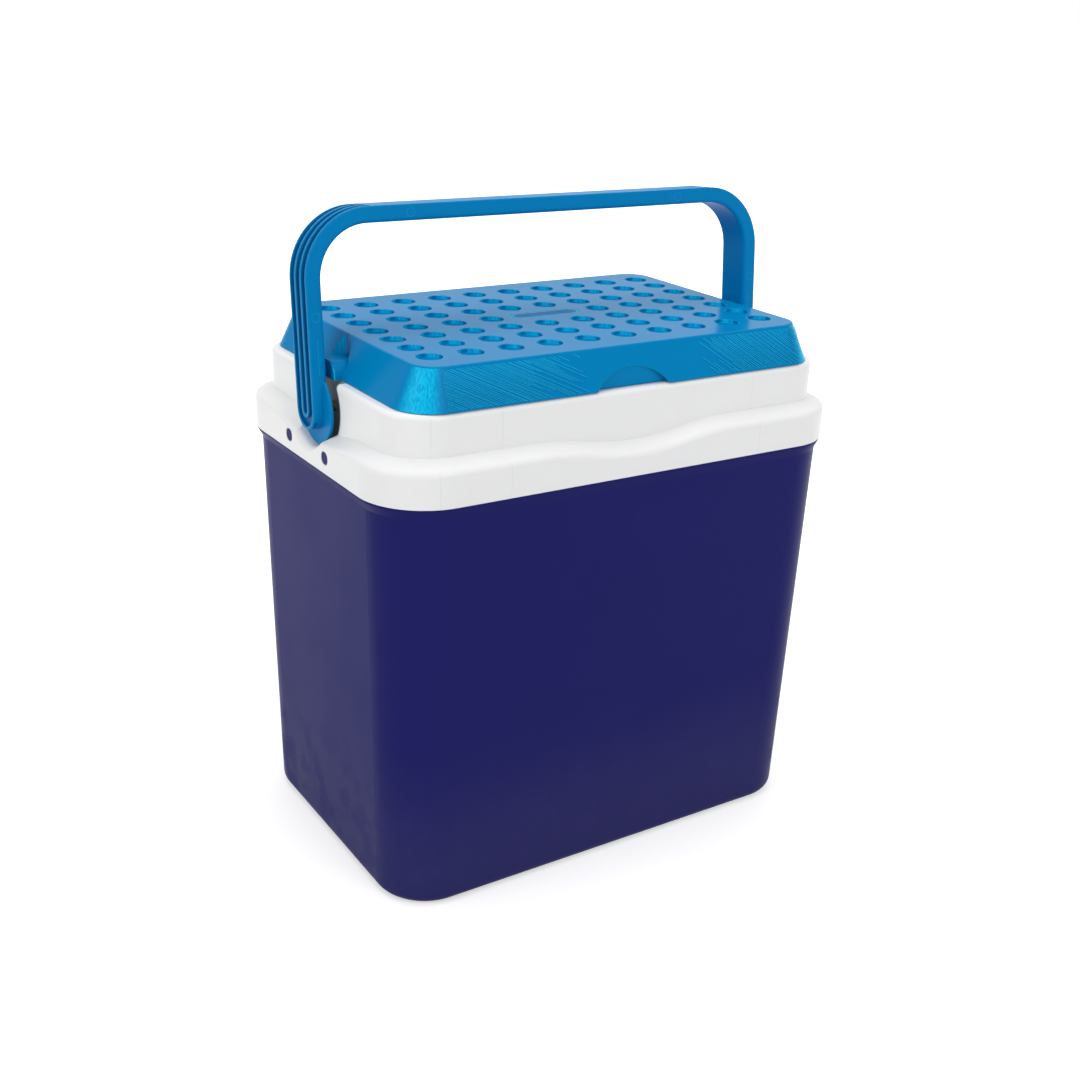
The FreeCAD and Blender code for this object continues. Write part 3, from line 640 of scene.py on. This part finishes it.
@dataclass
class Handle:
    """Bail handle; lengths in metres, in the bail's own upright frame."""

    effects: Effects
    half_span: float = 0.195
    reach: float = 0.1356
    bend: float = 0.0477
    thick: float = 0.0115
    half_width: float = 0.01425
    side_start: float = 0.0008
    side_full: float = 0.0004
    pivot_height: float = 0.348
    tilt: float = math.radians(4.9)
    mark: EjectorMark = EjectorMark()
    groove: BandGrooveShade = BandGrooveShade()
    leg_line: LegLine = LegLine()
    grip_lines: GripLines = GripLines()
    plastic: MouldedPlastic = MouldedPlastic(
        "blue_bail", written(0, 128, 188), written(0, 114, 176), written(30, 180, 228),
        Polish.SATIN, gloss=0.05, grain_size=0.0009, scuffs=0.2, edge_radius=0.0008)

    def outline_depth(self, g: Graph, x: Socket, z: Socket) -> Socket:
        """Returns how far a point lies inside the bail's outer contour.

        Args:
            g: The graph that gets the nodes.
            x: Place along the span.
            z: Height above the pivot, square to the pivot's axis.

        Returns:
            The depth in metres.
        """
        out = g.calc("SUBTRACT", g.calc("ABSOLUTE", x), self.half_span - self.bend)
        up = g.calc("SUBTRACT", z, self.reach - self.bend)
        corner = g.length(g.calc("MAXIMUM", out, 0.0), g.calc("MAXIMUM", up, 0.0))
        flat = g.calc("MINIMUM", g.calc("MAXIMUM", out, up), 0.0)
        return g.calc("SUBTRACT", self.bend, g.calc("ADD", corner, flat))

    def pin_marks(self, g: Graph, x: Socket, z: Socket) -> Socket:
        """Returns the distance to the nearest round ejector mark, in metres."""
        middle = self.thick / 2
        across = g.calc("ABSOLUTE", x)
        nearest = None
        for along, up in ((self.mark.on_grip, self.reach - middle),
                          (self.half_span - middle, self.mark.on_leg)):
            away = g.length(g.calc("SUBTRACT", across, along), g.calc("SUBTRACT", z, up))
            nearest = away if nearest is None else g.calc("MINIMUM", nearest, away)
        return nearest

    def shade_grooves(self, skin: PlasticSurface, depth: Socket, aside: Socket) -> None:
        """Paints shade into the grooves of the outer face.

        Args:
            skin: The handle's surface.
            depth: How far a point lies inside the outer contour.
            aside: How far it lies from the middle of the band's width.
        """
        g, groove = skin.graph, self.groove
        between = g.fade(aside, self.half_width - groove.outer_wall,
                         self.half_width - groove.inner_wall)
        sunk = g.both(g.step(depth, groove.start, groove.full),
                      g.fade(depth, groove.past_floor, groove.end))
        # Painted shade on the groove floors, where little light reaches.
        skin.tint(g.both(sunk, between), groove.colour, groove.tint)

    def press_marks(self, skin: PlasticSurface, away: Socket, face: Socket) -> None:
        """Presses the ejector marks into the band's sides.

        Args:
            skin: The handle's surface.
            away: The distance to the nearest mark.
            face: The mask of the band's sides.
        """
        g, mark = skin.graph, self.mark
        ring = g.both(skin.line(away, mark.radius, mark.ring_width), face)
        dish = g.both(g.fade(away, mark.dish_edge, mark.radius), face)
        skin.lift(ring, mark.ring_height)
        skin.lift(dish, -mark.dish_depth)
        skin.tint(ring, self.plastic.wear_and_highlight, mark.ring_tint)

    def raise_leg_lines(self, skin: PlasticSurface, x: Socket, z: Socket, face: Socket) -> None:
        """Raises the short line on each leg.

        Args:
            skin: The handle's surface.
            x: Place along the span.
            z: Height above the pivot.
            face: The mask of the band's sides.
        """
        g, line = skin.graph, self.leg_line
        tall = g.both(g.step(z, line.foot, line.foot + line.blur),
                      g.fade(z, line.head - line.blur, line.head))
        raised = g.both(skin.line(g.calc("ABSOLUTE", x), line.place, line.width),
                        g.both(tall, face))
        skin.lift(raised, line.height)
        skin.tint(raised, self.plastic.wear_and_highlight, line.tint)

    def draw_grip_lines(self, skin: PlasticSurface, x: Socket, depth: Socket,
                        aside: Socket) -> None:
        """Draws the lengthwise lines on top of the grip.

        Args:
            skin: The handle's surface.
            x: Place along the span.
            depth: How far a point lies inside the outer contour.
            aside: How far it lies from the middle of the band's width.
        """
        g, lines = skin.graph, self.grip_lines
        on_top = g.fade(depth, lines.skin_start, lines.skin_end)
        on_grip = g.fade(g.calc("ABSOLUTE", x), lines.end - lines.blur, lines.end)
        for place in lines.places:
            lengthwise = g.both(skin.line(aside, place, lines.width), g.both(on_top, on_grip))
            skin.lift(lengthwise, -lines.depth)
            skin.tint(lengthwise, lines.colour, lines.tint)

    def build(self) -> None:
        """Dresses the handle, with painted shade in its grooves, ejector marks and fine lines."""
        skin = PlasticSurface(self.plastic, self.effects)
        g = skin.graph
        from_pivot = g.vector("SUBTRACT", skin.place, (0.0, 0.0, self.pivot_height))
        upright = g.add("ShaderNodeVectorRotate", {"Vector": from_pivot, "Angle": self.tilt},
                        rotation_type="X_AXIS").outputs[0]
        x, y, z = g.split(upright)
        depth = self.outline_depth(g, x, z)
        aside = g.calc("ABSOLUTE", y)
        face = g.step(aside, self.half_width - self.side_start, self.half_width - self.side_full)
        self.shade_grooves(skin, depth, aside)
        self.press_marks(skin, self.pin_marks(g, x, z), face)
        self.raise_leg_lines(skin, x, z, face)
        self.draw_grip_lines(skin, x, depth, aside)
        dress("handle", skin.close())


@dataclass(frozen=True)
class HatchPatch:
    """A patch of fine slanting ridges on the lid's front; lengths in metres.

    Attributes:
        name: The piece's name.
        start: Where the patch starts along the length.
        end: Where it ends.
        pitch: Distance between ridges.
        lean: How far a ridge runs along the length for each metre that it falls.
        thick: Radius of a ridge.
        fade_start: Longest random shortening of a ridge at the start.
        fade_end: The same at the end.
        seed: Seed of the random numbers.
    """

    name: str
    start: float
    end: float
    pitch: float
    lean: float
    thick: float
    fade_start: float
    fade_end: float
    seed: int


@dataclass(frozen=True)
class Slant:
    """The slanting line of each ridge, as sockets of the ridges' node tree.

    Attributes:
        head_x: Where the line starts at the top of the face, along the length.
        drop: From the top of the face to its foot.
        run: How far the whole line runs along the length.
    """

    head_x: Socket
    drop: Socket
    run: Socket


@dataclass(frozen=True)
class Badge:
    """The plain oval outline in the middle of the lid's top; lengths in metres."""

    half: float = 0.0295
    round: float = 0.008
    groove_inner: float = 0.0026
    groove_floor: float = 0.0020
    field_edge: float = 0.0016
    field_full: float = 0.0010
    outer_blur: float = 0.0004
    top_start: float = 0.3955
    top_full: float = 0.3965
    groove_low: float = 0.3945
    groove_high: float = 0.3949
    colour: Colour = written(0, 90, 152)
    tint: float = 0.9
    rough: float = 0.18


@dataclass(frozen=True)
class CornerHighlight:
    """Painted highlight in fine upright lines on the lid's upright corners, found by how a face is
    turned.

    A face's turn is the product of its normal's parts along and across the chest, and its
    rise is the upright part. The height is in metres.
    """

    turn_start: float = 0.12
    turn_full: float = 0.42
    rise_start: float = 0.5
    rise_end: float = 0.75
    stretch: tuple[float, float, float] = (1.0, 1.0, 0.03)
    scale: float = 900.0
    least: float = 0.45
    height: float = 0.00003
    tint: float = 0.9


@dataclass
class Lid:
    """Lid cover with its pan and foam; lengths in metres."""

    effects: Effects
    badge: Badge = Badge()
    streaks: CornerHighlight = CornerHighlight()
    ridge_jitter: float = 0.3
    least_share: float = 0.04
    patches: tuple[HatchPatch, ...] = (
        HatchPatch("hatch_ridges_left", -0.147, -0.034, 0.0024, 2.1, 0.00024, 0.0, 0.05, 3),
        HatchPatch("hatch_ridges_right", 0.060, 0.154, 0.0023, 1.42, 0.00026, 0.03, 0.0, 8))
    foot_y: float = -0.1163
    foot_z: float = 0.3710
    head_y: float = -0.1063
    head_z: float = 0.3958
    plastic: MouldedPlastic = MouldedPlastic(
        "blue_lid", written(0, 127, 185), written(0, 117, 175), written(20, 196, 240),
        Polish.BRIGHT, gloss=0.035, grain_size=0.0010, grain_depth=0.000008, scuffs=0.15,
        clouds=0.06, edge_radius=0.0010)
    # The ridges are moulded in the lid's blue; their lighter copy of it is a painted highlight along
    # them.
    ridge: MouldedPlastic = MouldedPlastic(
        "blue_hatch_painted_highlight", written(30, 176, 222), written(10, 160, 210), written(80, 210, 240),
        Polish.SATIN, gloss=0.06, grain_size=0.0006, edge_radius=0.0002)
    pan: MouldedPlastic = MouldedPlastic(
        "pale_pan", written(230, 233, 236), written(220, 224, 229), written(242, 243, 245),
        Polish.SATIN, gloss=0.45, scuffs=0.35)

    def mark_badge(self, skin: PlasticSurface) -> None:
        """Darkens the badge's field and brightens the groove round it."""
        g, badge = skin.graph, self.badge
        top = g.step(skin.z, badge.top_start, badge.top_full)
        along = g.calc("MAXIMUM", g.calc("SUBTRACT", g.calc("ABSOLUTE", skin.x),
                                         badge.half - badge.round), 0.0)
        oval = g.length(along, skin.y)
        inside = g.fade(oval, badge.round - badge.field_edge, badge.round - badge.field_full)
        badge_field = g.both(inside, top)
        skin.tint(badge_field, badge.colour, badge.tint)
        groove = g.both(g.step(oval, badge.round - badge.groove_inner,
                               badge.round - badge.groove_floor),
                        g.fade(oval, badge.round, badge.round + badge.outer_blur))
        above_floor = g.step(skin.z, badge.groove_low, badge.groove_high)
        skin.tint(g.both(above_floor, groove), self.plastic.wear_and_highlight, badge.tint)
        skin.roughen(badge_field, badge.rough)

    def paint_corner_highlight(self, skin: PlasticSurface) -> None:
        """Paints a highlight in fine upright lines on the cover's upright corners."""
        g, streaks = skin.graph, self.streaks
        upright = g.fade(g.calc("ABSOLUTE", skin.facing[2]), streaks.rise_start, streaks.rise_end)
        turned = g.both(g.calc("ABSOLUTE", skin.facing[0]), g.calc("ABSOLUTE", skin.facing[1]))
        streak = g.noise(g.vector("MULTIPLY", skin.place, streaks.stretch), streaks.scale, 2.0)
        strength = g.calc("ADD", streaks.least,
                          g.both(g.step(streak, 0.35, 0.65), 1.0 - streaks.least))
        corner = g.step(turned, streaks.turn_start, streaks.turn_full)
        # Painted highlight on the upright corners, broken into fine upright lines.
        bright = g.both(g.both(corner, upright), strength)
        skin.lift(bright, streaks.height)
        skin.tint(bright, self.plastic.wear_and_highlight, streaks.tint)

    def dress_cover(self) -> None:
        """Dresses the cover, with its oval badge and a painted highlight on its corners."""
        skin = PlasticSurface(self.plastic, self.effects)
        self.mark_badge(skin)
        self.paint_corner_highlight(skin)
        dress("lid_cover", skin.close())

    def hatch_tree(self) -> bpy.types.GeometryNodeTree:
        """Builds the node tree that lays slanting ridges between two ends of a patch.

        Returns:
            The tree, with named inputs for its sizes and its seed.
        """
        tree = bpy.data.node_groups.new("slanting_ridges", "GeometryNodeTree")
        face = tree.interface
        face.new_socket("Geometry", in_out="INPUT", socket_type="NodeSocketGeometry")
        sizes = {"Start": 0.0, "End": 0.1, "Pitch": 0.002, "Lean": 2.0, "Thickness": 0.0001,
                 "Fade Start": 0.0, "Fade End": 0.0}
        for label, default in sizes.items():
            size = face.new_socket(label, in_out="INPUT", socket_type="NodeSocketFloat")
            size.default_value = default
        for label in ("Head", "Foot"):
            face.new_socket(label, in_out="INPUT", socket_type="NodeSocketVector")
        face.new_socket("Seed", in_out="INPUT", socket_type="NodeSocketInt")
        face.new_socket("Material", in_out="INPUT", socket_type="NodeSocketMaterial")
        face.new_socket("Geometry", in_out="OUTPUT", socket_type="NodeSocketGeometry")
        g = Graph(tree)
        given = g.add("NodeGroupInput").outputs
        drop = g.vector("SUBTRACT", given["Foot"], given["Head"])
        fall = g.calc("ABSOLUTE", g.split(drop)[2])
        run = g.both(fall, given["Lean"])
        room = g.calc("ADD", g.calc("SUBTRACT", given["End"], given["Start"]), run)
        count = g.calc("FLOOR", g.calc("DIVIDE", room, given["Pitch"]))
        row = g.add("GeometryNodeMeshLine", {"Count": count})
        number = g.add("GeometryNodeInputIndex").outputs[0]
        jitter = g.add("FunctionNodeRandomValue", {"Seed": given["Seed"]}, data_type="FLOAT")
        jitter.inputs[2].default_value = -self.ridge_jitter
        jitter.inputs[3].default_value = self.ridge_jitter
        place = g.both(g.calc("ADD", number, jitter.outputs[1]), given["Pitch"])
        head_x = g.calc("ADD", g.calc("SUBTRACT", given["Start"], run), place)
        kept = g.add("GeometryNodeCaptureAttribute", {"Geometry": row.outputs[0]}, domain="POINT")
        kept.capture_items.new("FLOAT", "head_x")
        kept.capture_items.new("FLOAT", "ragged")
        g.set_input(kept.inputs["head_x"], head_x)
        chance = g.add("FunctionNodeRandomValue", {"Seed": given["Seed"]}, data_type="FLOAT")
        g.set_input(kept.inputs["ragged"], chance.outputs[1])
        stick = g.add("GeometryNodeCurvePrimitiveLine")
        sticks = g.add("GeometryNodeInstanceOnPoints", {"Points": kept.outputs["Geometry"],
                                                        "Instance": stick.outputs[0]})
        real = g.add("GeometryNodeRealizeInstances", {0: sticks.outputs[0]})
        limits = {}
        for label, way in (("Start", 1.0), ("End", -1.0)):
            longest = g.both(kept.outputs["ragged"], given[f"Fade {label}"])
            limits[label] = g.calc("ADD", given[label], g.both(longest, way))
        line = Slant(kept.outputs["head_x"], drop, run)
        shares = self.ridge_ends(g, limits, line)
        laid = self.lay_ridges(g, given["Head"], real.outputs[0], line, shares)
        return self.finish_hatch(g, given, laid, shares)

    def ridge_ends(self, g: Graph, limits: dict[str, Socket],
                   line: Slant) -> tuple[Socket, Socket]:
        """Works out where each ridge starts and ends, as shares of the face's fall.

        Args:
            g: The tree's graph.
            limits: Where each ridge may start and end along the length.
            line: The slanting line of each ridge.

        Returns:
            The shares at the ridge's start and at its end.
        """
        shares = []
        for limit in limits.values():
            share = g.calc("DIVIDE", g.calc("SUBTRACT", limit, line.head_x), line.run)
            shares.append(g.add("ShaderNodeClamp", {"Value": share}).outputs[0])
        return tuple(shares)

    def lay_ridges(self, g: Graph, head: Socket, sticks: Socket, line: Slant,
                   shares: tuple[Socket, Socket]) -> Socket:
        """Lays each straight curve along its slanting line on the face.

        Args:
            g: The tree's graph.
            head: The top of the face.
            sticks: One straight curve for each ridge.
            line: The slanting line of each ridge.
            shares: Where each ridge starts and ends, as shares of the face's fall.

        Returns:
            The laid curves.
        """
        along = g.add("GeometryNodeSplineParameter").outputs["Factor"]
        share = g.calc("ADD", shares[0], g.both(along, g.calc("SUBTRACT", shares[1], shares[0])))
        spot = g.vector("MULTIPLY_ADD", line.drop, g.join(share, share, share), head)
        _, y, z = g.split(spot)
        x = g.calc("ADD", line.head_x, g.both(share, line.run))
        inputs = {"Geometry": sticks, "Position": g.join(x, y, z)}
        return g.add("GeometryNodeSetPosition", inputs).outputs[0]

    def finish_hatch(self, g: Graph, given: bpy.types.NodeOutputs, laid: Socket,
                     shares: tuple[Socket, Socket]) -> bpy.types.GeometryNodeTree:
        """Drops the shortest ridges, gives the others their section and ends the tree.

        Args:
            g: The tree's graph.
            given: The tree's inputs.
            laid: The laid curves.
            shares: Where each ridge starts and ends, as shares of the face's fall.

        Returns:
            The finished tree.
        """
        left = g.calc("SUBTRACT", shares[1], shares[0])
        short = g.add("FunctionNodeCompare", {0: left, 1: self.least_share},
                      operation="LESS_THAN")
        trimmed = g.add("GeometryNodeDeleteGeometry", {"Geometry": laid,
                                                       "Selection": short.outputs[0]},
                        domain="CURVE")
        section = g.add("GeometryNodeCurvePrimitiveCircle", {"Resolution": 4,
                                                             "Radius": given["Thickness"]})
        solid = g.add("GeometryNodeCurveToMesh", {"Curve": trimmed.outputs[0],
                                                  "Profile Curve": section.outputs[0],
                                                  "Fill Caps": True})
        whole = g.add("GeometryNodeRealizeInstances", {0: solid.outputs[0]})
        faced = g.add("GeometryNodeSetMaterial", {"Geometry": whole.outputs[0],
                                                  "Material": given["Material"]})
        out = g.add("NodeGroupOutput")
        g.tree.links.new(faced.outputs[0], out.inputs[0])
        return g.tree

    def grow_hatch(self) -> None:
        """Makes both patches of slanting ridges on the lid's front."""
        tree = self.hatch_tree()
        material = PlasticSurface(self.ridge, self.effects).close()
        for patch in self.patches:
            values = {"Start": patch.start, "End": patch.end, "Pitch": patch.pitch,
                      "Lean": patch.lean, "Thickness": patch.thick, "Seed": patch.seed,
                      "Fade Start": patch.fade_start, "Fade End": patch.fade_end,
                      "Head": (0.0, self.head_y, self.head_z),
                      "Foot": (0.0, self.foot_y, self.foot_z), "Material": material}
            piece = grown(patch.name, tree, values)
            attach(piece, "lid")
            log.info("%s has %d faces", piece.name, len(piece.data.polygons))

    def build(self) -> None:
        """Dresses the lid's pieces and grows its hatching."""
        self.dress_cover()
        dress("lid_base", PlasticSurface(self.pan, self.effects).close())
        dress("lid_insulation", Foam("lid_foam").material(self.effects))
        self.grow_hatch()


def grown(name: str, tree: bpy.types.GeometryNodeTree, values: dict[str, object]) -> bpy.types.Object:
    """Runs a geometry node tree once and keeps its result as a plain mesh.

    Args:
        name: The new piece's name.
        tree: The tree to run.
        values: A value for each of the tree's named inputs.

    Returns:
        The piece, with no modifier left on it.
    """
    seed = bpy.data.objects.new(name + "_seed", bpy.data.meshes.new(name + "_seed"))
    bpy.context.scene.collection.objects.link(seed)
    modifier = seed.modifiers.new("grow", "NODES")
    modifier.node_group = tree
    for item in tree.interface.items_tree:
        if item.item_type == "SOCKET" and item.in_out == "INPUT" and item.name in values:
            modifier[item.identifier] = values[item.name]
    shaped = seed.evaluated_get(bpy.context.evaluated_depsgraph_get())
    mesh = bpy.data.meshes.new_from_object(shaped)
    mesh.name = name
    piece = bpy.data.objects.new(name, mesh)
    bpy.context.scene.collection.objects.link(piece)
    seed.modifiers.remove(modifier)
    bpy.data.objects.remove(seed)
    return piece


@dataclass(frozen=True)
class Lamp:
    """One soft square lamp, aimed at the chest's middle."""

    name: str
    place: tuple[float, float, float]
    size: float
    watts: float


@dataclass
class Studio:
    """Pale floor, soft lamps, white surroundings and the camera."""

    lamps: tuple[Lamp, ...] = (
        Lamp("key_lamp", (0.2, -2.3, 1.9), 1.6, 22.0),
        Lamp("side_lamp", (-2.4, -0.2, 1.5), 1.4, 17.0),
        Lamp("top_lamp", (0.2, 0.4, 2.4), 1.8, 21.0))
    aim: tuple[float, float, float] = (0.0, 0.0, 0.24)
    sky: float = 0.55
    floor_size: float = 60.0
    floor_drop: float = 0.0004
    floor_glow: float = 0.45
    glow_start: float = 0.3
    glow_end: float = 1.0
    camera_place: tuple[float, float, float] = (-0.5709198, -0.8736788, 0.6277188)
    camera_right: tuple[float, float, float] = (0.8429229, -0.5368797, 0.0352304)
    camera_up: tuple[float, float, float] = (0.1698292, 0.3276278, 0.9294182)
    lens: float = 47.03
    film: float = 36.0
    near: float = 0.05

    def seen(self, g: Graph) -> Socket:
        """Returns 1 on rays that look at or reflect the surroundings, and 0 on light."""
        path = g.add("ShaderNodeLightPath").outputs
        looked = g.calc("MAXIMUM", path["Is Camera Ray"], path["Is Glossy Ray"])
        return g.calc("MAXIMUM", looked, path["Is Transmission Ray"])

    def light_sky(self) -> None:
        """Makes the even sky, white where it is looked at."""
        world = bpy.data.worlds.new("white_sky")
        bpy.context.scene.world = world
        g = opened(world)
        level = g.calc("ADD", self.sky, g.both(self.seen(g), 1.0 - self.sky))
        back = g.add("ShaderNodeBackground", {"Color": (1.0, 1.0, 1.0), "Strength": level})
        g.show(back, "ShaderNodeOutputWorld")

    def lay_floor(self) -> None:
        """Lays the pale floor, which keeps the chest's shadow and fades to white."""
        half = self.floor_size / 2
        corners = [(x * half, y * half, -self.floor_drop)
                   for x, y in ((-1, -1), (1, -1), (1, 1), (-1, 1))]
        mesh = bpy.data.meshes.new("studio_floor")
        mesh.from_pydata(corners, [], [(0, 1, 2, 3)])
        floor = bpy.data.objects.new("studio_floor", mesh)
        bpy.context.scene.collection.objects.link(floor)
        material = bpy.data.materials.new("pale_floor")
        g = opened(material)
        place = g.add("ShaderNodeTexCoord").outputs["Object"]
        far = g.step(g.vector("LENGTH", place), self.glow_start, self.glow_end)
        level = g.calc("ADD", self.floor_glow, g.both(far, 1.0 - self.floor_glow))
        shader = g.add("ShaderNodeBsdfPrincipled", {
            "Base Color": (0.8, 0.8, 0.8), "Roughness": 0.9, "Specular IOR Level": 0.1,
            "Emission Color": (1.0, 1.0, 1.0), "Emission Strength": g.both(self.seen(g), level)})
        g.show(shader)
        mesh.materials.append(material)

    def hang_lamps(self) -> None:
        """Hangs the soft lamps."""
        for lamp in self.lamps:
            light = bpy.data.lights.new(lamp.name, "AREA")
            light.shape = "SQUARE"
            light.size = lamp.size
            light.energy = lamp.watts
            hung = bpy.data.objects.new(lamp.name, light)
            bpy.context.scene.collection.objects.link(hung)
            hung.location = lamp.place
            beam = Vector(self.aim) - Vector(lamp.place)
            hung.rotation_euler = beam.to_track_quat("-Z", "Y").to_euler()

    def set_camera(self) -> None:
        """Sets up the camera."""
        right, up = Vector(self.camera_right), Vector(self.camera_up)
        turn = Matrix((right, up, right.cross(up))).transposed()
        view = bpy.data.cameras.new("view")
        view.lens = self.lens
        view.sensor_width = self.film
        view.clip_start = self.near
        camera = bpy.data.objects.new("view", view)
        bpy.context.scene.collection.objects.link(camera)
        camera.matrix_world = Matrix.Translation(self.camera_place) @ turn.to_4x4()
        bpy.context.scene.camera = camera

    def build(self) -> None:
        """Sets up the whole studio."""
        bpy.context.scene.view_settings.view_transform = "Standard"
        self.light_sky()
        self.lay_floor()
        self.hang_lamps()
        self.set_camera()


def main() -> None:
    """Builds every sub-assembly in order."""
    logging.basicConfig(level=logging.INFO, format="%(message)s")
    effects = Effects()
    for assembly in (Body(effects), Handle(effects), Lid(effects), Studio()):
        assembly.build()
        log.info("%s is built", type(assembly).__name__.lower())


if __name__ == "__main__":
    main()
